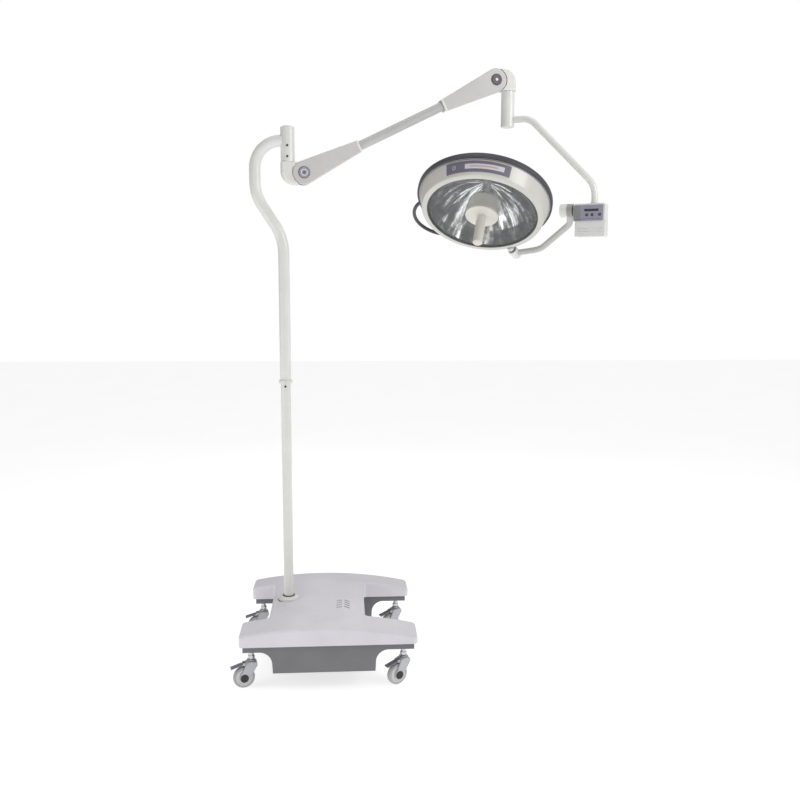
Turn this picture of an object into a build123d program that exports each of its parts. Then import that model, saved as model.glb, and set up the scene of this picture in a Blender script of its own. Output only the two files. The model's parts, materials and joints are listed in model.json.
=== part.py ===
"""Mobile surgical light: castored base, S-bent mast, spring arm, gimbal yoke and a halogen lamp head.

Millimetres, +Z up. The origin is on the mast axis at floor level, and +X points from the mast
towards the long side of the base, under the lamp.
"""
import os
from math import cos, pi, radians, sin, sqrt

from build123d import *

# ---------------------------------------------------------------- driving dimensions
# base
BASE_LEFT, BASE_RIGHT = -163.0, 487.0       # ends of the two long beams
BASE_HALF_DEPTH = 307.0                     # beams run from front to rear face at +/- this
BEAM_DEPTH = 131.0                          # depth of each beam
NOTCH_LEFT, NOTCH_RIGHT = -64.0, 297.0      # side walls of the centre body between the beams
SHELL_Z, CROWN_Z = 175.0, 249.0             # lower edge of the white shell and its highest point
CROWN_X, CROWN_R, CROWN_R_Y = 125.0, 1600.0, 6600.0
SHELL_WALL = 4.0
SKIRT_INSET, SKIRT_WALL = 12.0, 3.0         # grey tray, set in from the shell
SKIRT_Z, BEAM_Z = 70.0, 151.0               # underside of the tray and of the beams' ends
ARCH_LEFT, ARCH_RIGHT, ARCH_R = -38.0, 328.0, 46.0
# casters
CASTER_X, CASTER_Y = (-125.0, 438.0), 243.0
WHEEL_R, TYRE_R, WHEEL_HALF = 30.0, 40.0, 11.0
TRAIL = 28.0
HEADINGS = {"front_left": 195.0, "front_right": 210.0, "rear_left": 192.0, "rear_right": 207.0}
# mast
MAST_R, UPPER_R, TUBE_WALL = 19.0, 21.0, 2.5
MAST_JOINT_Z = 1108.0
SLEEVE_X, SLEEVE_R, SLEEVE_BORE = 20.0, 26.0, 20.0
SLEEVE_LOW, SLEEVE_HIGH = 1926.0, 2052.0
SLEEVE_SCREWS = (1944.0, 1983.0)            # heights of the sleeve's set screws
# spring arm
ARM_YAW, ARM_PITCH = 10.0, 26.6
ARM_LENGTH = 836.0                          # pivot to pivot
PIVOT_OUT, PIVOT_DROP = 57.0, 38.0          # pivot from the sleeve axis and from the sleeve's end
COVER_R, COVER_HALF, COVER_LENGTH, COVER_END = 43.0, 25.0, 236.0, 21.5
ARM_TUBE_R = 17.25
# yoke
YOKE_YAW = -30.0
YOKE_SLEEVE_LENGTH = 134.0
YOKE_TUBE_R = 12.5                          # both yoke tubes
HEAD_BACK, HEAD_DROP = 100.0, 463.0         # lamp centre behind and below the yoke sleeve's top
YOKE_TILT = 31.1                            # lower yoke, turned about the level tilt axis
GIMBAL_ANGLE = 77.7                         # lamp's pivot from the tilt axis, in the lower yoke's plane
HEAD_ROLL = -4.0                            # lamp, turned about its own pivot
# lamp head, on its own axis: +Z away from the patient, origin in the plane of the glass
GLASS_R, BEZEL_R, RIM_R, BUMPER_R = 221.0, 247.0, 266.0, 275.0
BUMPER_LOW, BUMPER_HIGH = 57.0, 79.0
DOME_BASE, DOME_TOP, DOME_WALL = 84.0, 171.0, 2.5
DRUM_R, DRUM_FRONT, DRUM_STEP, DRUM_TOP = 67.0, -14.0, 12.0, 78.0
GRIP_R, GRIP_LENGTH, GRIP_NECK = 19.5, 128.0, 20.0

RUN = 0.05                                  # radial clearance of a running fit
GAP = 0.5                                   # gap between pieces that turn past each other


# ---------------------------------------------------------------- placing
def unit(yaw):
    """Level direction at a yaw, in degrees from +X."""
    return Vector(cos(radians(yaw)), sin(radians(yaw)), 0)


ARM_DIR, YOKE_DIR = unit(ARM_YAW), unit(YOKE_YAW)
SLEEVE_AXIS = Vector(SLEEVE_X, 0, 0)
PIVOT_1 = SLEEVE_AXIS + ARM_DIR * PIVOT_OUT + Vector(0, 0, SLEEVE_LOW - PIVOT_DROP)
ARM_RUN, ARM_RISE = ARM_LENGTH * cos(radians(ARM_PITCH)), ARM_LENGTH * sin(radians(ARM_PITCH))
PIVOT_2 = PIVOT_1 + ARM_DIR * ARM_RUN + Vector(0, 0, ARM_RISE)
YOKE_TOP = PIVOT_2 + ARM_DIR * PIVOT_OUT - Vector(0, 0, PIVOT_DROP)
HEAD_CENTRE = YOKE_TOP - YOKE_DIR * HEAD_BACK - Vector(0, 0, HEAD_DROP)
YOKE_NORMAL = Vector(0, 0, cos(radians(YOKE_TILT))) - unit(YOKE_YAW - 90) * sin(radians(YOKE_TILT))

LOWER_ELBOW = Location((SLEEVE_X, 0, PIVOT_1.Z), (0, 0, ARM_YAW))
YAW_ARM, PITCH_ARM = Location((0, 0, 0), (0, 0, ARM_YAW)), Location((0, 0, 0), (0, -ARM_PITCH, 0))
ARM_FRAME = Location(PIVOT_1) * YAW_ARM * PITCH_ARM
YOKE_FRAME = Location((YOKE_TOP.X, YOKE_TOP.Y, 0), (0, 0, YOKE_YAW))
LOWER_FRAME = Plane(origin=HEAD_CENTRE, x_dir=YOKE_DIR, z_dir=YOKE_NORMAL).location
KNUCKLE_FRAME = LOWER_FRAME * Location((0, 0, 0), (0, 0, GIMBAL_ANGLE))
GIMBAL_FRAME = KNUCKLE_FRAME * Location((0, 0, 0), (HEAD_ROLL, 0, 0))
HEAD_FRAME = GIMBAL_FRAME * Location((0, 0, 0), (0, 0, -GIMBAL_ANGLE))


def rod(radius, low, high, x=0.0, y=0.0):
    """Upright cylinder between two heights."""
    return Pos(x, y, low) * Cylinder(radius, high - low, align=(Align.CENTER, Align.CENTER, Align.MIN))


def rod_x(radius, low, high, y=0.0, z=0.0):
    """Cylinder along X."""
    return Pos(0, y, z) * Rot(0, 90, 0) * rod(radius, low, high)


def rod_y(radius, low, high, x=0.0, z=0.0):
    """Cylinder along Y."""
    return Pos(x, 0, z) * Rot(-90, 0, 0) * rod(radius, low, high)


def block(x0, x1, y0, y1, z0, z1):
    """Box between corner values."""
    return Pos((x0 + x1) / 2, (y0 + y1) / 2, (z0 + z1) / 2) * Box(x1 - x0, y1 - y0, z1 - z0)


def spun(*points):
    """Solid turned about Z from an (r, z) outline."""
    return revolve(Plane.XZ * make_face(Polyline(*points, close=True)), Axis.Z)


def group(*shapes):
    """Separate solids kept together as one piece."""
    return Compound([solid for shape in shapes for solid in shape.solids()])


def bent_tube(path, radius, wall):
    """Round tube along a path that is made of straight runs and arcs."""
    start = Plane(origin=path @ 0, z_dir=path % 0)
    solid = sweep(start * Circle(radius), path=path)
    if wall:
        solid -= sweep(start * Circle(radius - wall), path=path)
    return solid


def slab_y(outline, half):
    """Closed outline in X and Z, pushed out to +/- half along Y."""
    return extrude(Plane.XZ * make_face(outline), half, both=True)


# ---------------------------------------------------------------- base
def h_outline(inset):
    """Plan of the base: two long beams joined by the centre body."""
    x0, x1 = BASE_LEFT + inset, BASE_RIGHT - inset
    y = BASE_HALF_DEPTH - inset
    yn = BASE_HALF_DEPTH - BEAM_DEPTH + inset
    nl, nr = NOTCH_LEFT + inset, NOTCH_RIGHT - inset
    points = [(x0, -y), (x1, -y), (x1, -yn), (nr, -yn), (nr, yn), (x1, yn),
              (x1, y), (x0, y), (x0, yn), (nl, yn), (nl, -yn), (x0, -yn)]
    plan = make_face(Polyline(*points, close=True))
    return fillet(plan.vertices(), max(16.0 - inset, 4.0))


def crown(drop):
    """Space under the base's domed top, lowered by a wall's thickness."""
    low = -60.0
    rise = CROWN_R - sqrt(CROWN_R ** 2 - 420 ** 2)
    top = CROWN_Z - drop
    arc = ThreePointArc((CROWN_X - 420, top - rise), (CROWN_X, top), (CROWN_X + 420, top - rise))
    sides = Polyline(arc @ 1, (CROWN_X + 420, low), (CROWN_X - 420, low), arc @ 0)
    section = Plane.XZ * make_face(arc + sides)
    hinge = Axis((0, 0, top - CROWN_R_Y), (1, 0, 0))
    return revolve(section.rotate(hinge, -6), hinge, 12)


def vent_slots(depth):
    """Slanted louvre slots in the top of the base, in two mirrored rows."""
    slots = []
    for row, lean in ((-1, 35), (1, -35)):
        for step in range(4):
            x, y = 214 + row * 15, -112 + step * 22
            slots.append(Pos(x, y, CROWN_Z) * Rot(0, 0, lean) * Box(26, 6, depth))
    return slots


def base_shell():
    """White top cover."""
    outer = extrude(h_outline(0), CROWN_Z + 10) & crown(0)
    outer -= block(-400, 700, -400, 400, -1, SHELL_Z)
    top_edges = [e for e in outer.edges() if e.center().Z > SHELL_Z + 8
                 and abs((e @ 0).Z - (e @ 1).Z) < 12 and e.length > 8]
    outer = fillet(top_edges, 9)
    inner = extrude(h_outline(SHELL_WALL), CROWN_Z + 10) & crown(SHELL_WALL)
    shell = (outer - inner - rod(MAST_R + GAP, 0, 300)).solids().sort_by(SortBy.VOLUME)[-1]
    return shell - vent_slots(60)


def arch_space(end, outward, wall):
    """Space under a beam's end, grown by a wall: up the arch's leg, round it and out level."""
    radius = ARCH_R + wall
    cx, cz = end + outward * (6 + ARCH_R), BEAM_Z - ARCH_R
    leg, crest = (cx - outward * radius, cz), (cx, cz + radius)
    bend = (cx - outward * radius * cos(radians(45)), cz + radius * sin(radians(45)))
    far = end + outward * 400
    rest = Polyline(crest, (far, cz + radius), (far, -20), (end - outward * wall, -20), leg)
    return slab_y(ThreePointArc(leg, bend, crest) + rest, 400)


def tray(wall):
    """Solid form of the grey tray, or with a wall's thickness the space inside it."""
    form = extrude(h_outline(SKIRT_INSET + wall), 182) - block(-400, 700, -400, 400, -1, SKIRT_Z + wall)
    return form - arch_space(ARCH_LEFT, -1, wall) - arch_space(ARCH_RIGHT, 1, wall)


INLET_X, INLET_Z, TRAY_REAR = 94.0, 120.0, BASE_HALF_DEPTH - SKIRT_INSET


def base_skirt():
    """Grey lower tray with arches over the casters."""
    pan = tray(0) - tray(SKIRT_WALL) - block(-400, 700, -400, 400, 181, 200)
    for x in CASTER_X:
        for y in (-CASTER_Y, CASTER_Y):
            pan -= rod(12, 140, 160, x, y)
    return pan - block(INLET_X - 31, INLET_X + 31, 280, 310, INLET_Z - 12, INLET_Z + 12)


def base_frame():
    """Welded steel frame: two long rails, two cross rails, deck plate and mast socket."""
    low, high = BEAM_Z + SKIRT_WALL, 178.0
    frame = block(-46, 282, -70, 70, 166, 172)
    for y in (-CASTER_Y, CASTER_Y):
        frame += block(-140, 460, y - 20, y + 20, low, high)
        frame -= block(-141, 461, y - 17, y + 17, low + 3, high - 3)
        for x in CASTER_X:
            frame += rod(15, low, high, x, y)
    for x in (43, 255):
        frame += block(x - 15, x + 15, -225, 225, low, high)
        frame -= block(x - 12, x + 12, -226, 226, low + 3, high - 3)
    frame += rod(MAST_R + 6, 104, 234)
    frame -= rod(MAST_R, 100, 240)
    for x in CASTER_X:
        for y in (-CASTER_Y, CASTER_Y):
            frame -= rod(8, 150, 180, x, y)
    return frame


def counterweight():
    """Cast slab on the tray's floor."""
    slab = block(-32, 279, -166, 166, SKIRT_Z + SKIRT_WALL, 103)
    return fillet(slab.edges().filter_by(Axis.Z), 12)


def transformer():
    """Ring transformer on the slab, with its clamping disc and bolt."""
    x = 150
    ring = fillet(rod(54, 103, 153, x).edges(), 9) - rod(18, 100, 160, x)
    disc = rod(32, 153, 156, x) + rod(6, 103, 160, x)
    return group(ring, disc)


def power_inlet():
    """Three-pin inlet and switch frame in one flanged module in the rear of the tray."""
    y = TRAY_REAR
    body = block(INLET_X - 36, INLET_X + 36, y, y + 3, INLET_Z - 15, INLET_Z + 15)
    body += block(INLET_X - 30, INLET_X + 30, y - 26, y, INLET_Z - 11.5, INLET_Z + 11.5)
    body -= block(INLET_X - 27, INLET_X - 3, y - 16, y + 4, INLET_Z - 8, INLET_Z + 8)
    body -= block(INLET_X + 6, INLET_X + 28, y - 20, y + 4, INLET_Z - 10.5, INLET_Z + 10.5)
    for dx, dz in ((-7, -2), (0, 2), (7, -2)):
        x = INLET_X - 15 + dx
        body += block(x - 1, x + 1, y - 17, y - 3, INLET_Z + dz - 2, INLET_Z + dz + 2)
    return body


ROCKER = Vector(INLET_X + 17, TRAY_REAR - 6, INLET_Z)


def mains_rocker():
    """Rocker of the mains switch."""
    face = rod_x(9.8, ROCKER.X - 10, ROCKER.X + 10, ROCKER.Y, ROCKER.Z)
    notch = Pos(ROCKER.X, ROCKER.Y + 12, ROCKER.Z + 3) * Rot(14, 0, 0) * Box(30, 8, 30)
    return face - notch


def caster_stems():
    """Four stems with their bearing collars and nuts, fixed in the frame."""
    low = BEAM_Z + SKIRT_WALL
    stem = spun((0, 86.5), (6, 86.5), (6, 100.5), (14, 100.5), (15, 106), (9, 108), (9, low), (8, low),
                (8, 182), (0, 182))
    stem += Pos(0, 0, 112) * extrude(RegularPolygon(12.5, 6), 9)
    return group(*[Pos(x, y, 0) * stem for x in CASTER_X for y in (-CASTER_Y, CASTER_Y)])


def caster_frame(corner):
    """Frame of a caster: origin under its stem, +X the way the wheel trails."""
    x = CASTER_X[0 if "left" in corner else 1]
    y = -CASTER_Y if "front" in corner else CASTER_Y
    return Location((x, y, 0), (0, 0, HEADINGS[corner]))


PEDAL_X, PEDAL_Z = 28.0, 91.0


def caster_fork():
    """Hooded fork with ears for the pedal, and the axle with its two caps."""
    hood = [Line((-20, 97), (18, 97)), Line((-20, 97), (-20, 84))]
    cheek = make_hull([Pos(TRAIL, TYRE_R) * edge for edge in Circle(16).edges()] + hood)
    fork = extrude(Plane.XZ * cheek, 17.5, both=True)
    fork -= block(-60, 90, -12.5, 12.5, -5, 83.5)
    fork = fillet(fork.edges().filter_by(GeomType.LINE).filter_by(Axis.Y).group_by(Axis.Z)[-1], 4)
    fork += rod(19, 94, 100)
    for side in (-1, 1):
        ear = rod_y(5, 7.4, 12.4, PEDAL_X, PEDAL_Z) + block(10, PEDAL_X, 7.4, 12.4, PEDAL_Z - 5, PEDAL_Z + 5)
        fork += ear if side > 0 else ear.mirror(Plane.XZ)
    fork += rod_y(1.9, -8, 8, PEDAL_X, PEDAL_Z)
    fork -= rod(6 + RUN, 85.5, 120)
    fork -= rod_y(4, -30, 30, TRAIL, TYRE_R)
    axle = rod_y(4, -18, 18, TRAIL, TYRE_R)
    for side in (-1, 1):
        cap = fillet(rod_y(14.5, 17.5, 21.5, TRAIL, TYRE_R).edges().group_by(Axis.Y)[-1], 2.5)
        axle += cap if side > 0 else cap.mirror(Plane.XZ)
    return group(fork, axle)


def caster_wheel():
    """Hub and its tyre."""
    w = WHEEL_HALF
    hub = spun((4 + RUN, -w), (12, -w), (14, -w + 3), (25, -w + 3), (27, -w), (WHEEL_R, -w + 1),
               (WHEEL_R, w - 1), (27, w), (25, w - 3), (14, w - 3), (12, w), (4 + RUN, w))
    tread = Polyline((WHEEL_R, -w + 1), (36, -w)) + Polyline((36, w), (WHEEL_R, w - 1), (WHEEL_R, -w + 1))
    tread += ThreePointArc((36, -w), (TYRE_R, 0), (36, w))
    tyre = revolve(Plane.XZ * make_face(tread), Axis.Z)
    place = Pos(TRAIL, 0, TYRE_R) * Rot(90, 0, 0)
    return group(place * hub, place * tyre)


def caster_pedal():
    """Brake pedal with its shoe over the tyre."""
    plate = block(7, 50, -11, 11, -1.5, 2.5) + block(0, 9, -6.8, 6.8, -2.5, 2.5)
    pedal = Pos(PEDAL_X, 0, PEDAL_Z) * Rot(0, 15, 0) * plate + rod_y(4.2, -6.8, 6.8, PEDAL_X, PEDAL_Z)
    pedal += block(37, 47, -8, 8, 81.5, 87)
    return pedal - rod_y(2, -20, 20, PEDAL_X, PEDAL_Z)


# ---------------------------------------------------------------- mast
def mast_collar():
    """Ring over the hole where the mast enters the base."""
    ring = spun((MAST_R, 240), (40, 240), (41, 250), (36, 254), (MAST_R + 4, 258), (MAST_R, 258))
    return ring - crown(0)


def mast_lower():
    """Straight lower tube."""
    tube = rod(MAST_R, 104, MAST_JOINT_Z + 60) - rod(MAST_R - TUBE_WALL, 100, MAST_JOINT_Z + 70)
    return tube - rod_y(2.5, -40, 0, 0, MAST_JOINT_Z - 17)


def mast_ring():
    """Clamp ring over the joint of the two tubes."""
    z = MAST_JOINT_Z
    return spun((MAST_R, z - 6), (25, z - 6), (26, z - 5), (26, z + 5), (25, z + 6), (UPPER_R, z + 6),
                (UPPER_R, z), (MAST_R, z))


def mast_upper():
    """S-bent tube with the upright sleeve welded to its end."""
    z = MAST_JOINT_Z
    path = FilletPolyline((0, 0, z), (0, 0, 1650), (-102, 0, 1806), (-102, 0, 2003), (SLEEVE_X - 18, 0, 2003),
                          radius=(200, 160, 100))
    tube = bent_tube(path, UPPER_R, UPPER_R - MAST_R)
    sleeve = fillet(rod(SLEEVE_R, SLEEVE_LOW, SLEEVE_HIGH, SLEEVE_X).edges(), 1.5)
    sleeve += rod(18, SLEEVE_HIGH, SLEEVE_HIGH + 3, SLEEVE_X)
    weldment = tube + sleeve - rod(SLEEVE_BORE, SLEEVE_LOW - 20, SLEEVE_LOW + SPIGOT + 1, SLEEVE_X)
    for height in SLEEVE_SCREWS:
        weldment -= rod_y(2.5, -40, 0, SLEEVE_X, height)
    return weldment


def bush_pair(low, high):
    """Bearing bushes near the two ends of a sleeve."""
    tube = rod(SLEEVE_BORE, low, high) - rod(17 + RUN, low - 1, high + 1)
    gap = rod(SLEEVE_BORE + 1, low + 20, high - 20)
    return tube - gap


def sleeve_bushes():
    """Bushes of the mast's sleeve."""
    return bush_pair(SLEEVE_LOW, SLEEVE_LOW + SPIGOT)


def set_screws():
    """Dark set screws of the sleeve and the joint ring."""
    heads = []
    places = [(0, MAST_JOINT_Z - 17, MAST_R, 4.0)]
    places += [(SLEEVE_X, height, SLEEVE_R, 5.5) for height in SLEEVE_SCREWS]
    for x, z, surface, length in places:
        screw = rod_y(2.5, -surface, length - surface, x, z)
        screw += rod_y(4, -surface - 1.8, -surface, x, z) - rod_y(1.5, -surface - 3, -surface - 0.8, x, z)
        heads.append(screw)
    return group(*heads)


# ---------------------------------------------------------------- spring arm
LINK_OUT, LINK_R = 11.5, 2.5                # level rod's pin above the pivot, and its radius
PIN_R = 5.0
SPIGOT = 122.0                              # length of the elbows' spigots beyond the sleeve's face


def elbow(link_side):
    """Elbow casting: spigot up, concave seat round the arm's cover, slotted tongue to the pivot."""
    top = PIVOT_DROP - GAP
    corner = ThreePointArc((-26, 7), (24 - 50 * cos(radians(45)), 7 - 50 * sin(radians(45))), (24, -43))
    sides = Polyline((24, -43), (42, -43), (42, top), (-26, top), (-26, 7))
    body = slab_y(corner + sides, COVER_HALF)
    body = fillet(body.edges().filter_by(Axis.Z), 9)
    seat = rod_y(COVER_R + 1.5, -40, 40, PIVOT_OUT, 0)
    body = body - seat - block(42, 80, -40, 40, -80, 80)
    for swing in (-42, 42):
        swept = block(0, 90, -40, 40, -COVER_R - 1.5, COVER_R + 1.5)
        body -= Pos(PIVOT_OUT, 0, 0) * Rot(0, swing, 0) * swept
    body += rod(SLEEVE_R, top - 6, top) - seat
    tongue = block(-5, PIVOT_OUT, -9, 9, -15, 15) + rod_y(18, -9, 9, PIVOT_OUT, 0)
    tongue -= block(34, 90, -3.4, 3.4, -30, 30)
    tongue += rod_y(LINK_R, -9, 9, PIVOT_OUT, link_side * LINK_OUT)
    body += tongue
    body += rod(17, top - 1, PIVOT_DROP + SPIGOT)
    return body - rod_y(PIN_R + RUN, -30, 30, PIVOT_OUT, 0)


def elbow_lower():
    """Elbow on the mast's sleeve."""
    return elbow(1)


def elbow_upper():
    """Elbow at the arm's far end, made the same and mounted upside down."""
    return elbow(-1)


def cover_form(wall):
    """Tapering form of an arm cover, or with a wall's thickness the space inside it."""
    r, end, length = COVER_R - wall, COVER_END - wall, COVER_LENGTH - 4 * wall
    side = make_hull(Circle(r).edges() + [Line((length, -end), (length, end))])
    form = extrude(Plane.XZ * side, 60, both=True)
    half = COVER_HALF - wall
    plan = Polyline((-50, -half), (70, -half), (length + 1, -end), (length + 1, end), (70, half), (-50, half),
                    close=True)
    return form & (Pos(0, 0, -60) * extrude(make_face(plan), 120))


def arm_cover():
    """Hollow cover round one end of the arm, open to the elbow's tongue."""
    cover = cover_form(0)
    rims = cover.edges().filter_by(lambda e: abs(abs(e.center().Y) - COVER_HALF) < 4 and e.length > 20)
    cover = chamfer(rims, 3.5) - cover_form(3)
    cover -= block(-60, -13, -10, 10, -60, 60)
    cover -= rod_x(ARM_TUBE_R, 200, 250)
    return cover - rod_y(PIN_R, -40, 40)


def arm_tube():
    """Main tube with the pivot cheeks and the spring's seats welded in."""
    start, end = 62.0, ARM_LENGTH - 62.0
    bore = ARM_TUBE_R - 2
    arm = rod_x(ARM_TUBE_R, start, end) - rod_x(bore, start - 1, end + 1)
    for x in (292, ARM_LENGTH - 298):
        arm += rod_x(bore + 0.5, x, x + 6) - block(x - 1, x + 7, -20, 20, 4.5, 20)
    cheek = block(0, 92, 11, 16, -14, 14) + rod_y(14, 11, 16) - rod_y(PIN_R, 0, 40)
    cheek -= rod_x(bore, start - 1, 100)
    for side in (cheek, cheek.mirror(Plane.XZ)):
        arm += side
        arm += Pos(ARM_LENGTH, 0, 0) * side.rotate(Axis.Z, 180)
    return arm


def pivot_pins():
    """Two pivot pins, each with a round cap at both ends."""
    cap = spun((0, 0), (20, 0), (20, 2), (18, 3.5), (14, 3.5), (13, 2.6), (9, 2.6), (8, 3.5), (0, 3.5))
    half = Pos(0, COVER_HALF, 0) * Rot(-90, 0, 0) * cap
    pin = rod_y(PIN_R, -COVER_HALF, COVER_HALF) + half + half.mirror(Plane.XZ)
    return group(pin, Pos(ARM_LENGTH, 0, 0) * pin)


def balance_spring():
    """Coil spring between the seats in the arm."""
    length, turns, wire, mean = 237.0, 12, 1.5, 7.0
    helix = Helix(pitch=length / turns, height=length, radius=mean)
    coil = sweep(Plane(origin=helix @ 0, z_dir=helix % 0) * Circle(wire), path=helix, is_frenet=True)
    return Pos(298 + 1.5, 0, -5.5) * Rot(0, 90, 0) * coil


def level_rod():
    """Rod parallel to the arm that keeps the upper elbow upright."""
    bar = rod_x(3, 3, ARM_LENGTH - 3)
    for x in (0, ARM_LENGTH):
        bar += rod_y(5.6, -2, 2, x)
        bar -= rod_y(LINK_R + 0.1, -3, 3, x)
    return bar


# ---------------------------------------------------------------- yoke
TILT_Z = YOKE_TOP.Z - HEAD_DROP              # height of the level tilt axis
YOKE_BEND = 353.0                            # upper tube's drop into the box, from the sleeve axis
BOX_X0, BOX_X1, BOX_HALF = 280.0, 399.0, 28.0
BOX_TOP, BOX_MID, BOX_LOW = TILT_Z + 21, TILT_Z - 44, TILT_Z - 100
PANEL_X0, PANEL_X1, PANEL_Y = BOX_X0 + 2, BOX_X1 - 6, -BOX_HALF
PANEL_LOW, PANEL_TOP = BOX_MID + 1, TILT_Z + 15
WINDOW = (322, 376, TILT_Z - 8, TILT_Z + 1)  # display window: x from, to, height from, to
BUTTONS = {"minus": 332.0, "plus": 353.0, "power": 381.0}
BUTTON_Z, BUTTON_R = TILT_Z - 21, 5.0


def yoke_upper_arm():
    """Sleeve that turns on the upper elbow, with the bent tube and its end flange welded to it."""
    top = YOKE_TOP.Z
    low = top - YOKE_SLEEVE_LENGTH
    branch = top - 107
    corners = [(15, 0, branch), (91, 0, branch), (YOKE_BEND, 0, top - 374), (YOKE_BEND, 0, BOX_TOP)]
    path = FilletPolyline(*corners, radius=(75, 95))
    sleeve = fillet(rod(SLEEVE_R, low, top).edges(), 1.5)
    flange = rod(YOKE_TUBE_R + 4, BOX_TOP, BOX_TOP + 5, YOKE_BEND)
    flange -= rod(YOKE_TUBE_R - 1, BOX_TOP - 1, BOX_TOP + 6, YOKE_BEND)
    return bent_tube(path, YOKE_TUBE_R, 2) + sleeve - rod(SLEEVE_BORE, low + 4, top + 10) + flange


def panel_rim(inset, y0, y1):
    """Block behind the panel, set in from the panel's edge."""
    return block(PANEL_X0 + inset, PANEL_X1 - inset, y0, y1, PANEL_LOW + inset, PANEL_TOP - inset)


def control_box():
    """Shell of the control box, open behind the panel, with a bearing boss for the tilt shaft."""
    wall = 2.5
    box = block(BOX_X0, BOX_X1, -BOX_HALF, BOX_HALF, BOX_MID, BOX_TOP)
    box = fillet(box.edges().filter_by(Axis.Y), 6)
    depth = BOX_HALF - wall
    box -= block(BOX_X0 + wall, BOX_X1 - wall, -depth, depth, BOX_MID + wall, BOX_TOP - wall)
    box -= panel_rim(2.5, -BOX_HALF - 1, -BOX_HALF + wall + 1)
    box += rod_x(18, BOX_X0 + 1, BOX_X0 + 14, 0, TILT_Z)
    box -= rod_x(12 + RUN, BOX_X0 - 1, BOX_X0 + 20, 0, TILT_Z)
    return box - rod(YOKE_TUBE_R - 2, BOX_TOP - 5, BOX_TOP + 5, YOKE_BEND)


def control_panel():
    """Front plate with a locating rim, a display window, button holes and a groove below the buttons."""
    y = PANEL_Y
    plate = fillet(panel_rim(0, y - 3, y).edges().filter_by(Axis.Y), 4)
    plate += panel_rim(3, y - 0.5, y + 3) - panel_rim(5, y - 1, y + 4)
    x0, x1, z0, z1 = WINDOW
    plate -= block(x0, x1, y - 4, y + 1, z0, z1)
    plate -= block(PANEL_X0 + 8, PANEL_X1 - 8, y - 4, y - 2.4, TILT_Z - 36.5, TILT_Z - 35.5)
    for x in BUTTONS.values():
        plate -= rod_y(BUTTON_R + 0.3, y - 5, y + 5, x, BUTTON_Z)
    return plate


def control_base():
    """Closed lower housing under the control box, with a row of vents."""
    x0, x1, wall = BOX_X0 + 7, BOX_X1 + 1, 3
    base = block(x0, x1, -BOX_HALF, BOX_HALF, BOX_LOW, BOX_MID)
    base = fillet(base.edges().filter_by(Axis.Y), 4)
    base -= block(x0 + wall, x1 - wall, -BOX_HALF + wall, BOX_HALF - wall, BOX_LOW + wall, BOX_MID - wall)
    for step in range(8):
        x = x0 + 11 + step * 12
        base -= block(x, x + 7, -BOX_HALF - 1, -BOX_HALF + wall + 1, BOX_LOW + 18, BOX_LOW + 30)
    return base


def control_board():
    """Circuit board behind the panel, with the dimmer and the display whose face fills the window."""
    y = PANEL_Y
    x0, x1, z0, z1 = WINDOW
    board = block(BOX_X0 + 18, BOX_X1 - 5, y + 8, y + 9.6, BOX_MID + 5, BOX_TOP - 5)
    board += block(x0 + 1, x1 - 1, y + 3.5, y + 8, z0 - 3, z1 + 5)
    board += block(x0, x1, y - 2, y + 4, z0, z1)
    board += block(x0 - 12, x0 + 18, y + 9.6, y + 24, BOX_MID + 12, BOX_MID + 34)
    return board


def button():
    """Round push button with a flange behind the panel."""
    y = PANEL_Y
    cap = rod_y(BUTTON_R, y - 4.5, y + 2.5, 0, BUTTON_Z)
    return chamfer(cap.edges().group_by(Axis.Y)[0], 0.6) + rod_y(BUTTON_R + 1, y + 0.6, y + 2.5, 0, BUTTON_Z)


def yoke_bushes():
    """Bushes of the yoke: two in the sleeve and one between the tilt knuckle and the box."""
    tilt = rod_x(22, BOX_X0 - 6.5, BOX_X0, 0, TILT_Z) - rod_x(12 + RUN, BOX_X0 - 10, BOX_X0 + 1, 0, TILT_Z)
    return group(bush_pair(YOKE_TOP.Z - SPIGOT, YOKE_TOP.Z), tilt)


# lower yoke, in its own frame: +X along the tilt axis to the box, origin at the lamp's centre
TILT_SHAFT_X = BOX_X0 + HEAD_BACK            # face of the control box
KNUCKLE_R, KNUCKLE_LENGTH = 25.0, 50.0
KNUCKLE_X1 = TILT_SHAFT_X - 7.0
LAMP_PIVOT_R = 290.0                         # middle of the lamp's knuckle from the lamp's centre
LAMP_KNUCKLE_R = 20.0


def tilt_knuckle():
    """Knuckle that turns in the control box and carries the lower tube."""
    knuckle = fillet(rod_x(KNUCKLE_R, KNUCKLE_X1 - KNUCKLE_LENGTH, KNUCKLE_X1).edges(), 3)
    seam = KNUCKLE_X1 - 26
    knuckle -= rod_x(KNUCKLE_R + 1, seam - 0.6, seam + 0.6) - rod_x(KNUCKLE_R - 0.8, seam - 1, seam + 1)
    return knuckle + rod_x(12, KNUCKLE_X1 - 3, TILT_SHAFT_X + 16)


def yoke_lower_arm():
    """Bent tube from the tilt knuckle round to the lamp's pivot."""
    along = Vector(cos(radians(GIMBAL_ANGLE)), sin(radians(GIMBAL_ANGLE)), 0)
    end = along * LAMP_PIVOT_R
    corner = end + Vector(along.Y, -along.X, 0) * 120
    path = FilletPolyline((KNUCKLE_X1 - 18, 18, 0), (341, 86, 0), corner, end, radius=(75, 110))
    tube = bent_tube(path, YOKE_TUBE_R, 2)
    tube -= rod_x(KNUCKLE_R, KNUCKLE_X1 - KNUCKLE_LENGTH, TILT_SHAFT_X)
    return tube - Rot(0, 0, GIMBAL_ANGLE) * rod_x(LAMP_KNUCKLE_R, 250, 330)


def head_knuckle():
    """Knuckle at the lamp's rim that holds the lamp's pivot stud."""
    knuckle = rod_x(LAMP_KNUCKLE_R, 264, 314)
    knuckle = fillet(knuckle.edges().group_by(Axis.X)[-1], 9)
    knuckle = fillet(knuckle.edges().group_by(Axis.X)[0], 2)
    return knuckle - rod_x(8 + RUN, 260, 300)


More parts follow.
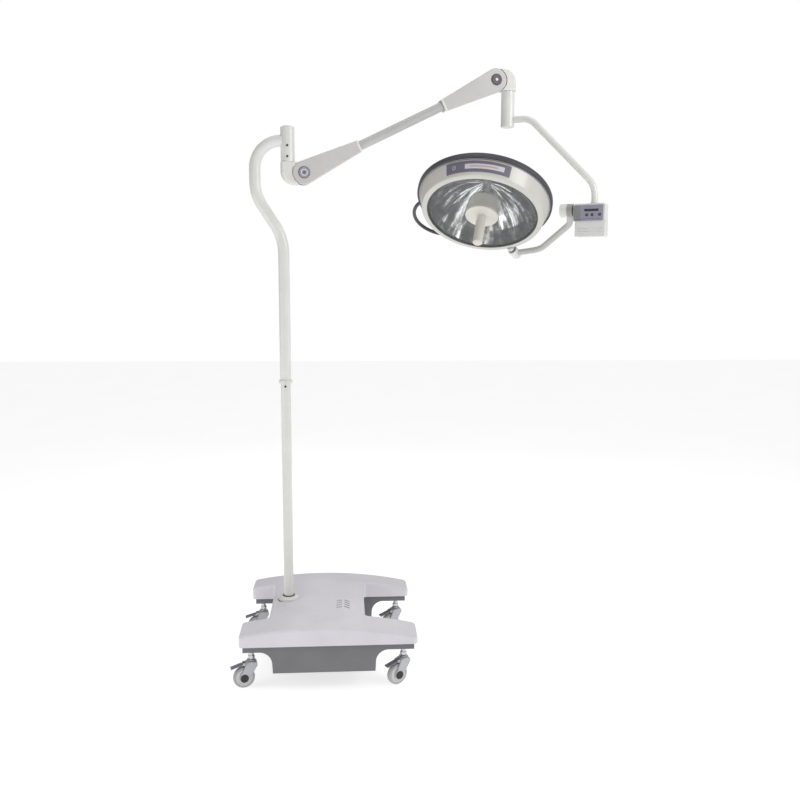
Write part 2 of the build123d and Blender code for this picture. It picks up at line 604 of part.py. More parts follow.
def head_bush():
    """Dark bush between the lamp and its knuckle."""
    return rod_x(14, 257, 264) - rod_x(8 + RUN, 250, 270)


# ---------------------------------------------------------------- lamp head
CONE = (RIM_R - BEZEL_R - 2) / BUMPER_LOW    # outward slope of the bezel's wall


def front_bezel():
    """Cream front ring: a lip round the glass and a flared wall up to the bumper."""
    top = BUMPER_LOW
    r = BEZEL_R
    return spun((GLASS_R, -5), (GLASS_R + 2, -6), (r - 8, -6), (r - 2, -4), (r, 0), (r + CONE * top, top),
                (r + CONE * top - 4, top), (r - 4.5, 0), (r - 8, -2), (GLASS_R + 2, -2), (GLASS_R, -3))


def glass():
    """Flat front glass with a round opening for the lamp housing."""
    return rod(GLASS_R + 14, -2, 2) - rod(DRUM_R + 1.5, -5, 5)


DOME_R = (RIM_R ** 2 + (DOME_TOP - DOME_BASE) ** 2) / (2 * (DOME_TOP - DOME_BASE))
BOSS_R, BOSS_DISC = 24.0, DOME_TOP - 6.5      # recess in the dome's crown, and the underside of its disc


def dome_section(wall):
    """Half section of the rim and the spherical dome, set in by a wall's thickness."""
    low, high = DOME_BASE - wall, DOME_TOP - wall
    r = RIM_R - wall
    cap = Pos(0, DOME_TOP - DOME_R) * Circle(DOME_R - wall)
    cap &= Pos(r / 2, (low + high) / 2) * Rectangle(r, high - low)
    return cap + Pos(r / 2, (low + BUMPER_LOW) / 2) * Rectangle(r, low - BUMPER_LOW)


def head_dome():
    """Rear housing: rim under the bumper, then a shallow dome with a recessed disc at its crown."""
    section = dome_section(0) - dome_section(DOME_WALL) - Pos(0, DOME_TOP) * Rectangle(2 * BOSS_R + 2, 40)
    section += Pos(BOSS_R + 3, DOME_TOP - 2) * Rectangle(6, 9)
    section += Pos(BOSS_R / 2 + 0.5, BOSS_DISC + 1.5) * Rectangle(BOSS_R + 1, 3)
    return revolve(Plane.XZ * section, Axis.Z)


def bumper_ring():
    """Dark rubber bumper round the rim, with rounded outer edges."""
    ring = rod(BUMPER_R, BUMPER_LOW, BUMPER_HIGH) - rod(RIM_R, BUMPER_LOW - 1, BUMPER_HIGH + 1)
    outer = ring.edges().filter_by(lambda edge: edge.length > 2 * pi * (BUMPER_R - 1))
    return fillet(outer, 4)


def label_plate():
    """Blank plate that follows the bezel's wall."""
    low, high = 8.0, 49.0
    r = BEZEL_R
    outline = Polyline((r + CONE * low, 0, low), (r + CONE * low + 2, 0, low), (r + CONE * high + 2, 0, high),
                       (r + CONE * high, 0, high), close=True)
    plate = revolve(make_face(outline), Axis.Z, 57)
    return plate.rotate(Axis.Z, -106)


def reflector():
    """Bowl of the reflector, open at its crown for the lamp's stem."""
    def curve(shift):
        return ThreePointArc((218 + shift, 6), (150 + shift, 104 + shift), (19, 158 + shift))
    inner, outer = curve(0), curve(1.5)
    outline = inner + outer + Line(inner @ 0, outer @ 0) + Line(inner @ 1, outer @ 1)
    return revolve(Plane.XZ * make_face(outline), Axis.Z)


def lamp_housing():
    """Central drum in two tiers, hollow, with its windowed stem up to the dome."""
    r, front, step, top = DRUM_R, DRUM_FRONT, DRUM_STEP, DRUM_TOP
    tier, stem, wall = DRUM_R - 4, 17.5, 3
    bore = 8 + RUN
    outside = [(bore, front), (r - 3, front), (r, front + 3), (r, step), (tier, step + 1.5), (tier, top - 22),
               (tier - 8, top - 7), (tier - 24, top), (stem, top + 2), (stem, BOSS_DISC)]
    inside = [(stem - 2, BOSS_DISC), (stem - 2, top - wall), (tier - 26, top - wall - 2),
              (tier - 10, top - 10), (tier - wall, top - 23), (tier - wall, step - 2), (r - wall, step - 3),
              (r - wall, front + 4), (bore, front + 4)]
    drum = spun(*outside, *inside)
    for angle in (0, 90):
        drum -= Rot(0, 0, angle) * block(-7, 7, -30, 30, 98, 138)
    return drum


def heat_filter():
    """Glass tube round the lamp, inside the stem."""
    return rod(15.3, 86, 150) - rod(13.3, 80, 160)


def lamp_holder():
    """Ceramic holder on its focusing guide."""
    return rod(12, 36, 74) + rod(15, 36, 44) - rod(5.5, 66, 80)


def halogen_lamp():
    """Halogen capsule in its holder."""
    return fillet(rod(5.4, 66, 116).edges().group_by(Axis.Z)[-1], 4)


def focus_handle():
    """Straight grip under the drum, with a short neck and its shaft into the housing."""
    top = DRUM_FRONT - GAP
    low = top - GRIP_LENGTH
    neck = GRIP_R - 2
    return spun((0, low), (GRIP_R - 4, low), (GRIP_R, low + 4), (GRIP_R, top - GRIP_NECK),
                (neck, top - GRIP_NECK + 3), (neck, top), (7.95, top), (7.95, 22), (0, 22))


def side_handle():
    """Round bar bent into a loop beside the bumper."""
    z = (BUMPER_LOW + BUMPER_HIGH) / 2

    ends_and_middle = ((268, 187), (346, 159), (268, 131))
    points = [(r * cos(radians(angle)), r * sin(radians(angle)), z) for r, angle in ends_and_middle]
    loop = ThreePointArc(*points)
    return bent_tube(loop, 7.5, 0) - rod(BUMPER_R, 0, 200)


def head_stud():
    """Pivot stud with its boss on the bezel's wall."""
    stud = rod_x(14, 240, 256.5) + rod_x(8, 240, 299)
    wall_top = BEZEL_R + CONE * BUMPER_LOW
    solid_bezel = spun((0, -6), (BEZEL_R - 8, -6), (BEZEL_R - 2, -4), (BEZEL_R, 0), (wall_top, BUMPER_LOW),
                       (0, BUMPER_LOW))
    return stud - solid_bezel


# ---------------------------------------------------------------- assembly
UPPER_ELBOW = Location(PIVOT_2 + ARM_DIR * PIVOT_OUT) * YAW_ARM * Location((0, 0, 0), (0, 180, 0))
ARM_FAR_END = ARM_FRAME * Location((ARM_LENGTH, 0, 0), (0, 0, 180))
LINK_FRAME = Location(PIVOT_1 + Vector(0, 0, LINK_OUT)) * YAW_ARM * PITCH_ARM

FRAMES = [
    (Location(), [base_shell, base_skirt, base_frame, counterweight, transformer, power_inlet, mains_rocker,
                  caster_stems, mast_collar, mast_lower, mast_ring, mast_upper, set_screws]),
    (Location(SLEEVE_AXIS), [sleeve_bushes]),
    (LOWER_ELBOW, [elbow_lower]),
    (ARM_FRAME, [arm_tube, pivot_pins, balance_spring]),
    (LINK_FRAME, [level_rod]),
    (UPPER_ELBOW, [elbow_upper]),
    (YOKE_FRAME, [yoke_upper_arm, yoke_bushes, control_box, control_panel, control_base, control_board]),
    (LOWER_FRAME, [tilt_knuckle, yoke_lower_arm]),
    (KNUCKLE_FRAME, [head_knuckle, head_bush]),
    (GIMBAL_FRAME, [head_stud]),
    (HEAD_FRAME, [front_bezel, glass, head_dome, bumper_ring, label_plate, reflector, lamp_housing,
                  heat_filter, lamp_holder, halogen_lamp, focus_handle, side_handle]),
]
PARTS = {build.__name__: (frame, build) for frame, builders in FRAMES for build in builders}
PARTS["arm_cover_lower"] = (ARM_FRAME, arm_cover)
PARTS["arm_cover_upper"] = (ARM_FAR_END, arm_cover)
for name, x in BUTTONS.items():
    PARTS["button_" + name] = (YOKE_FRAME * Location((x, 0, 0)), button)
for corner in HEADINGS:
    for piece, build in (("fork", caster_fork), ("wheel", caster_wheel), ("pedal", caster_pedal)):
        PARTS["caster_%s_%s" % (corner, piece)] = (caster_frame(corner), build)

os.makedirs("parts", exist_ok=True)
for node, (frame, build) in PARTS.items():
    export_step(frame * build(), "parts/%s.step" % node)
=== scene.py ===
"""Looks for the mobile surgical light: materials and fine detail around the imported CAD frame."""

import json
import math
import random

import bmesh
import bpy
from mathutils import Matrix, Vector


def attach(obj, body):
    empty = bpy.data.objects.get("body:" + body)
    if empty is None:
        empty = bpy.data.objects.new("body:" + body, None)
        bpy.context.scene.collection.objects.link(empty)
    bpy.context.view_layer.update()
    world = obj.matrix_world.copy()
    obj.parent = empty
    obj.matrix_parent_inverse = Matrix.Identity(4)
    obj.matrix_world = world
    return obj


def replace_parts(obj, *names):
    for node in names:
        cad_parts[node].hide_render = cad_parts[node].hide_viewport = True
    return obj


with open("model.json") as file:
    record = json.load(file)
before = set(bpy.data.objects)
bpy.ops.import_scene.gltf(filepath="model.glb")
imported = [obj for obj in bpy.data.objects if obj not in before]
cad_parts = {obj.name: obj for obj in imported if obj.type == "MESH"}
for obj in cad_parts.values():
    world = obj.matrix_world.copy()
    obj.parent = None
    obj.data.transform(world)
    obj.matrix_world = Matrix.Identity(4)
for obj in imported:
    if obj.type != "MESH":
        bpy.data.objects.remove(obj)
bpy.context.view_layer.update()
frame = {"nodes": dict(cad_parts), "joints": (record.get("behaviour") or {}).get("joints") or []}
JOINTS = {joint["name"]: joint for joint in frame["joints"]}
NODES = frame["nodes"]
MM = 0.001


# ---------------------------------------------------------------- frames of the moving bodies
def axis_of(name):
    """Unit axis of a joint."""
    return Vector(JOINTS[name]["axis"]).normalized()


def point_of(name):
    """Position of a joint, in metres."""
    return Vector(JOINTS[name]["pos_m"])


def frame_from(origin, x_dir, z_dir):
    """Matrix whose X and Z axes point along two perpendicular directions."""
    x, z = x_dir.normalized(), z_dir.normalized()
    y = z.cross(x)
    matrix = Matrix((x, y, z)).transposed().to_4x4()
    matrix.translation = origin
    return matrix


UP = Vector((0, 0, 1))
LIGHT = axis_of("handle_turn")
TILT_LINE, PIVOT_LINE = axis_of("yoke_tilt"), axis_of("head_tilt")
GIMBAL = frame_from(point_of("head_tilt"), PIVOT_LINE, -LIGHT)
HEAD = GIMBAL @ Matrix.Rotation(-TILT_LINE.angle(PIVOT_LINE), 4, "Z")
LOWER = frame_from(point_of("head_tilt"), TILT_LINE, TILT_LINE.cross(PIVOT_LINE))
YOKE = frame_from(Vector((*point_of("yoke_swivel").xy, point_of("head_tilt").z)), axis_of("yoke_tilt"), UP)
ARM_LINE = point_of("arm_level") - point_of("arm_pitch")
ARM = frame_from(point_of("arm_pitch"), ARM_LINE, ARM_LINE.cross(-axis_of("arm_pitch")))


def local_box(name, matrix):
    """Lowest and highest corners of a node in a frame, in millimetres."""
    inverse = matrix.inverted()
    node = NODES[name]
    points = [inverse @ (node.matrix_world @ vertex.co) / MM for vertex in node.data.vertices]
    return [Vector(pick(point[i] for point in points) for i in range(3)) for pick in (min, max)]


PANEL_LOW = local_box("control_panel", YOKE)[0]
KNUCKLE_HIGH = local_box("tilt_knuckle", LOWER)[1]
DOME_HIGH = local_box("head_dome", HEAD)[1]
COVER_END = local_box("arm_cover_lower", ARM)[1].x
PINS_FRONT = local_box("pivot_pins", ARM)[0].y


# ---------------------------------------------------------------- node materials
class Shader:
    """Small wrapper that adds and links nodes of one material."""

    def __init__(self, name):
        self.material = bpy.data.materials.new(name)
        self.material.use_nodes = True
        self.nodes = self.material.node_tree.nodes
        self.links = self.material.node_tree.links
        self.bsdf = self.nodes["Principled BSDF"]
        self.coords = self.nodes.new("ShaderNodeTexCoord").outputs["Object"]

    def add(self, kind, **values):
        """New node; keyword values set its properties, or its inputs where it has an input of that name."""
        node = self.nodes.new(kind)
        for key, value in values.items():
            label = key.replace("_", " ").title()
            if label in node.inputs:
                node.inputs[label].default_value = value
            else:
                setattr(node, key, value)
        return node

    def link(self, source, target):
        self.links.new(source, target)

    def noise(self, scale, detail=3.0, stretch=None, roughness=0.55):
        """Noise in the object's own coordinates, optionally stretched along its axes."""
        node = self.add("ShaderNodeTexNoise", scale=scale, detail=detail, roughness=roughness)
        if stretch:
            mapping = self.add("ShaderNodeMapping")
            mapping.inputs["Scale"].default_value = stretch
            self.link(self.coords, mapping.inputs["Vector"])
            self.link(mapping.outputs["Vector"], node.inputs["Vector"])
        else:
            self.link(self.coords, node.inputs["Vector"])
        return node.outputs["Fac"]

    def ramp(self, source, *stops):
        """Colour ramp through (position, colour) stops."""
        node = self.add("ShaderNodeValToRGB")
        elements = node.color_ramp.elements
        while len(elements) < len(stops):
            elements.new(0.5)
        for element, (position, colour) in zip(elements, stops):
            element.position = position
            element.color = (*colour, 1.0) if len(colour) == 3 else colour
        self.link(source, node.inputs["Fac"])
        return node.outputs["Color"]

    def span(self, source, low, high):
        """A 0..1 value mapped to a range."""
        node = self.add("ShaderNodeMapRange")
        node.inputs["To Min"].default_value = low
        node.inputs["To Max"].default_value = high
        self.link(source, node.inputs["Value"])
        return node.outputs["Result"]

    def mix(self, factor, first, second):
        """Two colours blended by a factor."""
        node = self.add("ShaderNodeMix", data_type="RGBA")
        self.link(factor, node.inputs["Factor"])
        self.link(first, node.inputs["A"])
        self.link(second, node.inputs["B"])
        return node.outputs["Result"]

    def along(self, matrix, axis):
        """Distance along one axis of a frame, in millimetres."""
        direction = Vector(matrix.col[axis][:3])
        dot = self.add("ShaderNodeVectorMath", operation="DOT_PRODUCT")
        dot.inputs[1].default_value = direction / MM
        self.link(self.coords, dot.inputs[0])
        shift = self.add("ShaderNodeMath", operation="SUBTRACT")
        shift.inputs[1].default_value = direction.dot(matrix.translation) / MM
        self.link(dot.outputs["Value"], shift.inputs[0])
        return shift.outputs["Value"]

    def beyond(self, value, level, soft=0.3):
        """0 below a level and 1 above it, over a soft edge."""
        node = self.add("ShaderNodeMapRange")
        node.inputs["From Min"].default_value = level - soft
        node.inputs["From Max"].default_value = level + soft
        self.link(value, node.inputs["Value"])
        return node.outputs["Result"]

    def relief(self, height, strength, distance, edge=0.0):
        """Bump from a height, over edges that are rounded by a small radius."""
        bump = self.add("ShaderNodeBump")
        bump.inputs["Strength"].default_value = strength
        bump.inputs["Distance"].default_value = distance
        self.link(height, bump.inputs["Height"])
        if edge:
            bevel = self.add("ShaderNodeBevel", samples=6)
            bevel.inputs["Radius"].default_value = edge
            self.link(bevel.outputs["Normal"], bump.inputs["Normal"])
        self.link(bump.outputs["Normal"], self.bsdf.inputs["Normal"])

    def set(self, **values):
        """Uniform values on the shader's own sockets."""
        for key, value in values.items():
            self.bsdf.inputs[key.replace("_", " ")].default_value = value
        return self


def tinted(colour, amount):
    """A colour made lighter or darker."""
    return tuple(min(1.0, channel * (1 + amount)) for channel in colour)


def coated(name, colour, rough, grain, depth, edge=0.0008, drift=0.05, coat=0.0, metallic=0.0):
    """Paint or moulded plastic: slow colour drift, fine grain in gloss and relief, rounded edges."""
    shader = Shader(name)
    slow = shader.noise(7.0, 4.0)
    shader.link(shader.ramp(slow, (0.3, tinted(colour, -drift)), (0.7, tinted(colour, drift))),
                shader.bsdf.inputs["Base Color"])
    fine = shader.noise(grain, 2.0)
    shader.link(shader.span(shader.noise(45.0, 4.0), rough - 0.06, rough + 0.08),
                shader.bsdf.inputs["Roughness"])
    shader.relief(fine, 0.35, depth, edge)
    shader.set(Metallic=metallic)
    if coat:
        shader.bsdf.inputs["Coat Weight"].default_value = coat
        shader.bsdf.inputs["Coat Roughness"].default_value = 0.12
    return shader.material


def brushed(name, colour, rough, stretch, edge=0.0004):
    """Bare or plated metal with fine directional scratches."""
    shader = Shader(name)
    lines = shader.noise(900.0, 3.0, stretch)
    shader.link(shader.ramp(lines, (0.3, tinted(colour, -0.18)), (0.7, tinted(colour, 0.12))),
                shader.bsdf.inputs["Base Color"])
    shader.link(shader.span(lines, rough - 0.08, rough + 0.12), shader.bsdf.inputs["Roughness"])
    shader.relief(lines, 0.2, 0.00004, edge)
    shader.set(Metallic=1.0)
    return shader.material


def clear(name, colour, alpha, rough):
    """Thin clear material with faint smears."""
    shader = Shader(name)
    smear = shader.noise(18.0, 5.0)
    shader.link(shader.span(smear, rough, rough + 0.05), shader.bsdf.inputs["Roughness"])
    shader.link(shader.ramp(smear, (0.3, tinted(colour, -0.03)), (0.7, colour)),
                shader.bsdf.inputs["Base Color"])
    shader.set(Alpha=alpha, IOR=1.5)
    return shader.material


WHITE = (0.74, 0.74, 0.715)
CREAM = (0.72, 0.70, 0.635)
paint_white = coated("paint_white", WHITE, 0.30, 900.0, 0.00002, coat=0.25)
paint_tube = coated("paint_tube", WHITE, 0.30, 900.0, 0.00002, edge=0.0, coat=0.25)
# grey on the arm tube and the lower yoke arm; on the lower yoke arm the grey is painted shade
arm_grey_and_shade = coated("arm_grey_and_shade", (0.50, 0.50, 0.485), 0.34, 900.0, 0.00002, edge=0.0, coat=0.2)
cover_grey = coated("cover_grey", (0.60, 0.585, 0.57), 0.38, 1600.0, 0.00003, coat=0.1)
plastic_white = coated("plastic_white", (0.73, 0.73, 0.71), 0.36, 2200.0, 0.00008, coat=0.1)
plastic_base = coated("plastic_base", (0.725, 0.705, 0.755), 0.34, 1800.0, 0.00008, edge=0.0015, coat=0.2)
plastic_skirt = coated("plastic_skirt", (0.185, 0.185, 0.195), 0.55, 1500.0, 0.00025, edge=0.0015, drift=0.08)
plastic_black = coated("plastic_black", (0.022, 0.022, 0.025), 0.45, 2500.0, 0.0001)
plastic_bush = coated("plastic_bush", (0.05, 0.05, 0.055), 0.4, 1200.0, 0.00006)
caster_grey = coated("caster_grey", (0.52, 0.525, 0.55), 0.38, 1600.0, 0.0001, edge=0.0008)
pedal_grey = coated("pedal_grey", (0.20, 0.20, 0.22), 0.55, 1600.0, 0.0002)
cream = coated("cream", CREAM, 0.32, 1500.0, 0.00006, coat=0.2)
bezel_cream = coated("bezel_cream", (0.61, 0.60, 0.56), 0.30, 1500.0, 0.00005, coat=0.3, drift=0.03)
display_dark = coated("display_dark", (0.020, 0.018, 0.032), 0.18, 2600.0, 0.00002, edge=0.0003, coat=0.5)
display_lit = coated("display_lit", (0.10, 0.095, 0.14), 0.25, 2600.0, 0.00002)
mark_pale = coated("mark_pale", (0.42, 0.42, 0.50), 0.4, 2600.0, 0.00003)
mark_field = coated("mark_field", (0.62, 0.61, 0.66), 0.35, 2600.0, 0.00003)
mark_red = coated("mark_red", (0.56, 0.31, 0.33), 0.4, 2600.0, 0.00003)
mark_blue = coated("mark_blue", (0.36, 0.46, 0.50), 0.4, 2600.0, 0.00003)
seal_pale = coated("seal_pale", (0.80, 0.80, 0.78), 0.3, 1800.0, 0.00004, coat=0.2)
label_grey = coated("label_grey", (0.165, 0.15, 0.205), 0.4, 2400.0, 0.00004, edge=0.0003)
charcoal = coated("charcoal", (0.04, 0.04, 0.045), 0.32, 900.0, 0.0001, coat=0.2)
rubber = coated("rubber", (0.058, 0.057, 0.066), 0.42, 1800.0, 0.00015, edge=0.001, drift=0.1)
tyre_grey = coated("tyre_grey", (0.42, 0.42, 0.44), 0.7, 1400.0, 0.0003, drift=0.15)
hub_white = coated("hub_white", (0.70, 0.70, 0.68), 0.4, 1700.0, 0.0001)
ceramic = coated("ceramic", (0.74, 0.73, 0.68), 0.6, 900.0, 0.0001)
circuit = coated("circuit", (0.015, 0.10, 0.05), 0.35, 500.0, 0.0001)
winding = coated("winding", (0.42, 0.18, 0.06), 0.35, 700.0, 0.0004, metallic=0.6)
cast = coated("cast", (0.06, 0.06, 0.065), 0.7, 400.0, 0.0006)
zinc = brushed("zinc", (0.62, 0.62, 0.64), 0.3, (1, 1, 0.05))
steel = brushed("steel", (0.45, 0.46, 0.48), 0.4, (0.05, 1, 1))
black_steel = brushed("black_steel", (0.06, 0.06, 0.065), 0.4, (1, 1, 1))
front_clear = clear("front_clear", (0.9, 0.95, 0.96), 0.07, 0.02)
filter_clear = clear("filter_clear", (0.7, 0.88, 0.85), 0.3, 0.02)
lamp_clear = clear("lamp_clear", (0.95, 0.95, 0.97), 0.4, 0.02)


def colour_split_at_level(name, matrix, axis, level, first, second, rough, edge=0.0006):
    """Satin finish that changes colour where the piece passes a level along one axis of a frame; on the tilt
    knuckle the second colour is painted shade.
    """
    shader = Shader(name)
    slow = shader.noise(30.0, 4.0)
    tones = [shader.ramp(slow, (0.3, tinted(tone, -0.06)), (0.7, tinted(tone, 0.06)))
             for tone in (first, second)]
    passed = shader.beyond(shader.along(matrix, axis), level)
    shader.link(shader.mix(passed, *tones), shader.bsdf.inputs["Base Color"])
    shader.link(shader.span(slow, rough - 0.05, rough + 0.08), shader.bsdf.inputs["Roughness"])
    shader.relief(shader.noise(1800.0, 2.0), 0.3, 0.00006, edge)
    return shader.material


def mirror_with_painted_reflections():
    """Bright reflector whose base colour carries radial streaks of painted reflection, from near black to
    near white, laid out by the facets' UV map.
    """
    shader = Shader("reflector_mirror")
    split = shader.add("ShaderNodeSeparateXYZ")
    shader.link(shader.add("ShaderNodeTexCoord").outputs["UV"], split.inputs["Vector"])
    join = shader.add("ShaderNodeCombineXYZ")
    shader.link(split.outputs["X"], join.inputs["X"])
    radial = shader.add("ShaderNodeMath", operation="MULTIPLY")
    radial.inputs[1].default_value = 0.06
    shader.link(split.outputs["Y"], radial.inputs[0])
    shader.link(radial.outputs["Value"], join.inputs["Y"])
    reflection_streaks = shader.add("ShaderNodeTexNoise", scale=30.0, detail=4.0, roughness=0.65)
    shader.link(join.outputs["Vector"], reflection_streaks.inputs["Vector"])
    # painted reflection: dark and bright streaks in the base colour stand in for the surroundings mirrored in
    # the facets
    tone = shader.ramp(reflection_streaks.outputs["Fac"], (0.43, (0.035, 0.036, 0.035)), (0.50, (0.15, 0.15, 0.145)),
                       (0.56, (0.52, 0.52, 0.53)), (0.63, (0.95, 0.95, 0.96)))
    shader.link(tone, shader.bsdf.inputs["Base Color"])
    shader.link(shader.span(shader.noise(120.0, 3.0), 0.10, 0.20), shader.bsdf.inputs["Roughness"])
    shader.relief(shader.noise(700.0, 2.0), 0.1, 0.00005)
    shader.set(Metallic=1.0)
    return shader.material


ARM_MIDDLE = ARM_LINE.length / MM / 2
pivot_caps = colour_split_at_level("pivot_caps", ARM, 0, ARM_MIDDLE, (0.34, 0.33, 0.40), (0.11, 0.11, 0.12), 0.36)
PANEL_EDGE = PANEL_LOW.x + 26.0                  # where the plain left part of the panel ends
panel_face = colour_split_at_level("panel_face", YOKE, 0, PANEL_EDGE, (0.235, 0.24, 0.245), (0.30, 0.29, 0.37), 0.42)
# tilt knuckle: white, then brownish grey past the level; the grey band is painted shade
knuckle_with_painted_shade = colour_split_at_level("knuckle_with_painted_shade", LOWER, 0, KNUCKLE_HIGH.x - 45.0, WHITE, (0.36, 0.345, 0.31), 0.34)
mirror = mirror_with_painted_reflections()

FINISH = {
    paint_white: ("mast_ring", "mast_collar", "elbow_lower", "elbow_upper", "head_knuckle", "head_dome"),
    paint_tube: ("mast_lower", "mast_upper", "yoke_upper_arm"),
    arm_grey_and_shade: ("arm_tube", "yoke_lower_arm"),
    cover_grey: ("arm_cover_lower", "arm_cover_upper"),
    plastic_white: ("control_box", "control_base"),
    plastic_base: ("base_shell",),
    plastic_skirt: ("base_skirt",),
    plastic_black: ("power_inlet", "mains_rocker", "button_minus", "button_plus", "button_power"),
    plastic_bush: ("sleeve_bushes", "yoke_bushes", "head_bush"),
    caster_grey: tuple(name for name in NODES if name.endswith("_fork")),
    pedal_grey: tuple(name for name in NODES if name.endswith("_pedal")),
    cream: ("lamp_housing", "focus_handle"),
    bezel_cream: ("front_bezel",),
    panel_face: ("control_panel",),
    knuckle_with_painted_shade: ("tilt_knuckle",),
    label_grey: ("label_plate",),
    charcoal: ("side_handle",),
    rubber: ("bumper_ring",),
    ceramic: ("lamp_holder",),
    circuit: ("control_board",),
    winding: ("transformer",),
    cast: ("counterweight",),
    zinc: ("caster_stems", "head_stud", "level_rod", "balance_spring"),
    steel: ("base_frame",),
    black_steel: ("set_screws",),
    front_clear: ("glass",),
    filter_clear: ("heat_filter",),
    lamp_clear: ("halogen_lamp",),
    pivot_caps: ("pivot_pins",),
    mirror: ("reflector",),
    tyre_grey: tuple(name for name in NODES if name.endswith("_wheel")),
}
for material, names in FINISH.items():
    for name in names:
        slots = NODES[name].material_slots
        if slots:
            for each in slots:
                each.material = material
        else:
            NODES[name].data.materials.append(material)


# ---------------------------------------------------------------- building pieces
def piece(name, verts, faces, matrix, material, body, smooth=30.0, uvs=None):
    """Mesh piece from local millimetres, placed by a matrix, riding on a body."""
    mesh = bpy.data.meshes.new(name)
    mesh.from_pydata([matrix @ (Vector(v) * MM) for v in verts], [], faces)
    mesh.validate()
    mesh.polygons.foreach_set("use_smooth", [True] * len(mesh.polygons))
    mesh.set_sharp_from_angle(angle=math.radians(smooth))
    mesh.materials.append(material)
    if uvs:
        layer = mesh.uv_layers.new(name="facets")
        for loop in mesh.loops:
            layer.data[loop.index].uv = uvs[loop.vertex_index]
    built = bpy.data.objects.new(name, mesh)
    bpy.context.scene.collection.objects.link(built)
    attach(built, body)
    return built


def tidy_normals(built):
    """Faces turned to point outwards."""
    work = bmesh.new()
    work.from_mesh(built.data)
    bmesh.ops.recalc_face_normals(work, faces=work.faces)
    work.to_mesh(built.data)
    work.free()
    return built


def ring_faces(rows, columns, closed_rows, closed_columns):
    """Quads of a grid of rows and columns, each of which may close on itself."""
    faces = []
    for i in range(rows if closed_rows else rows - 1):
        for j in range(columns if closed_columns else columns - 1):
            a, b = i * columns + j, i * columns + (j + 1) % columns
            c, d = ((i + 1) % rows) * columns + (j + 1) % columns, ((i + 1) % rows) * columns + j
            faces.append((a, b, c, d))
    return faces


def lathe(name, profile, matrix, material, body, steps=96, start=0.0, sweep=360.0, smooth=30.0):
    """Closed (r, z) profile turned about the matrix's Z axis, all round or through a sweep with flat ends."""
    full = sweep >= 360.0
    columns = steps if full else steps + 1
    verts = []
    for r, z in profile:
        for j in range(columns):
            angle = math.radians(start + sweep * j / steps)
            verts.append((r * math.cos(angle), r * math.sin(angle), z))
    faces = ring_faces(len(profile), columns, True, full)
    if not full:
        faces.append([i * columns for i in range(len(profile))])
        faces.append([i * columns + columns - 1 for i in reversed(range(len(profile)))])
    return tidy_normals(piece(name, verts, faces, matrix, material, body, smooth))


def rounded(points, radius, steps=4):
    """Closed 2-D outline with its corners rounded."""
    outline = []
    count = len(points)
    for i, corner in enumerate(points):
        here = Vector(corner)
        before, after = Vector(points[i - 1]) - here, Vector(points[(i + 1) % count]) - here
        cut = min(radius, before.length * 0.45, after.length * 0.45)
        a, b = here + before.normalized() * cut, here + after.normalized() * cut
        for k in range(steps + 1):
            t = k / steps
            outline.append(tuple((1 - t) ** 2 * a + 2 * t * (1 - t) * here + t ** 2 * b))
    return outline


def plate(name, outline, low, high, matrix, material, body, bevel=0.6, smooth=30.0):
    """Flat plate in the matrix's XY plane with a bevelled top edge."""
    count = len(outline)
    middle = sum((Vector(p) for p in outline), Vector((0, 0))) / count
    arms = [Vector(p) - middle for p in outline]
    inner = [middle + arm * (1 - bevel / max(1.0, arm.length)) for arm in arms]
    rows = [[(x, y, low) for x, y in outline], [(x, y, high - bevel) for x, y in outline],
            [(p.x, p.y, high) for p in inner]]
    faces = ring_faces(3, count, False, True)
    faces.append(list(range(count)))
    faces.append([2 * count + i for i in range(count)])
    verts = [v for row in rows for v in row]
    return tidy_normals(piece(name, verts, faces, matrix, material, body, smooth))


# ---------------------------------------------------------------- reflector of the lamp
def reflector_profile(count):
    """Points along the bowl from the rim to the crown, on the same arc as the frame's reflector."""
    ax, ay, bx, by, cx, cy = 218.0, 6.0, 150.0, 104.0, 19.0, 158.0
    d = 2 * (ax * (by - cy) + bx * (cy - ay) + cx * (ay - by))
    aa, bb, cc = ax ** 2 + ay ** 2, bx ** 2 + by ** 2, cx ** 2 + cy ** 2
    ux = (aa * (by - cy) + bb * (cy - ay) + cc * (ay - by)) / d
    uy = (aa * (cx - bx) + bb * (ax - cx) + cc * (bx - ax)) / d
    radius = math.hypot(ax - ux, ay - uy)
    start, end = math.atan2(ay - uy, ax - ux), math.atan2(cy - uy, cx - ux)
    return [(ux + radius * math.cos(start + (end - start) * i / count),
             uy + radius * math.sin(start + (end - start) * i / count)) for i in range(count + 1)]


def faceted_reflector():
    """Bowl of many flat radial facets, each turned a little from its neighbours."""
    rng = random.Random(7)
    rows, columns, thick = 9, 72, 1.4
    profile = reflector_profile(rows)
    lean = [rng.uniform(-1.0, 1.0) for _ in range(columns)]
    inner, outer, uvs = [], [], []
    for i, (r, z) in enumerate(profile):
        for j in range(columns):
            angle = 2 * math.pi * j / columns
            fade = math.sin(math.pi * i / rows)
            near = r + fade * 1.1 * lean[j]
            inner.append((near * math.cos(angle), near * math.sin(angle), z))
            outer.append(((r + thick) * math.cos(angle), (r + thick) * math.sin(angle), z + thick))
            uvs.append((j / columns, i / rows))
    size = len(inner)
    faces = ring_faces(rows + 1, columns, False, True)
    faces += [tuple(size + v for v in reversed(face)) for face in faces]
    for row in (0, rows):
        for j in range(columns):
            a, b = row * columns + j, row * columns + (j + 1) % columns
            faces.append((a, size + a, size + b, b) if row == 0 else (b, size + b, size + a, a))
    built = piece("reflector_facets", inner + outer, faces, HEAD, mirror, "head",
                  smooth=1.0, uvs=uvs + uvs)
    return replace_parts(tidy_normals(built), "reflector")


faceted_reflector()

# ---------------------------------------------------------------- head trim
BEZEL_R, CONE = 247.0, 17.0 / 57.0               # bezel radius at the glass, and its widening per mm


